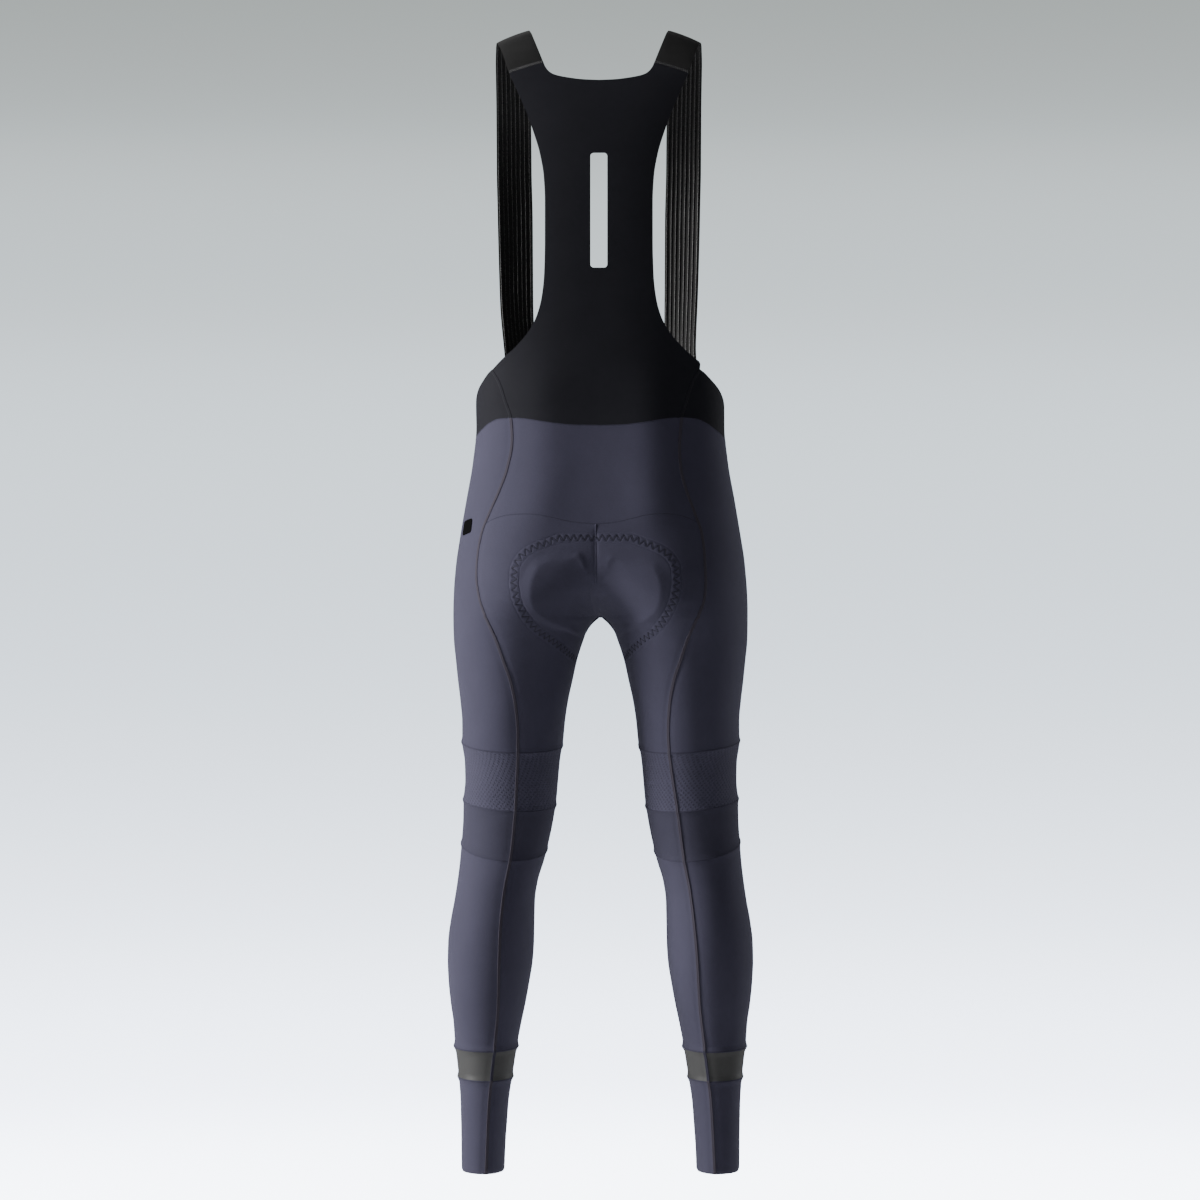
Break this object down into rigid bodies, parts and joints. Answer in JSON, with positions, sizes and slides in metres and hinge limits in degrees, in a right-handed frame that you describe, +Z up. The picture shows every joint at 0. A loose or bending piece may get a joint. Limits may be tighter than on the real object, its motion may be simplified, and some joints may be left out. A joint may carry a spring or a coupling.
{
  "type": "long cycling bib tights",
  "caption": "Long cycling tights with shoulder straps, a racer back and a seat pad, filled out as when worn, open at the neck, arms and ankles.",
  "frame": {"origin": "midway between the two shoulder straps, at the height of their tops, where the wearer's shoulders hold them", "axes": "+Z up, -Y towards the wearer's front, +X towards the wearer's left"},
  "size_m": [0.375, 0.2433, 1.3988],
  "materials": {
    "slate_knit": "matte stretch knit, slate blue-violet, with flatlock seams",
    "slate_mesh": "fine diamond mesh knit, slate blue-violet",
    "dark_knit": "matte stretch knit, darker slate",
    "black_knit": "matte black stretch knit",
    "strap_elastic": "woven elastic, ribbed lengthwise on the body side",
    "olive_band": "coated band, dark olive grey, faint sheen",
    "pad_foam": "brushed foam-backed knit",
    "label": "smooth bare patch"
  },
  "bodies": {
    "root": {"back_bib": "black_knit", "front_bib": "black_knit", "strap_left": "strap_elastic", "strap_right": "strap_elastic", "back_yoke": "slate_knit", "seat_left": "slate_knit", "seat_right": "slate_knit", "thigh_left": "slate_knit", "thigh_right": "slate_knit", "knee_upper_left": "slate_mesh", "knee_upper_right": "slate_mesh", "knee_lower_left": "dark_knit", "knee_lower_right": "dark_knit", "calf_left": "slate_knit", "calf_right": "slate_knit", "ankle_band_left": "olive_band", "ankle_band_right": "olive_band", "cuff_left": "slate_knit", "cuff_right": "slate_knit", "hip_label": "label", "pad": "pad_foam"}
  },
  "joints": []
}
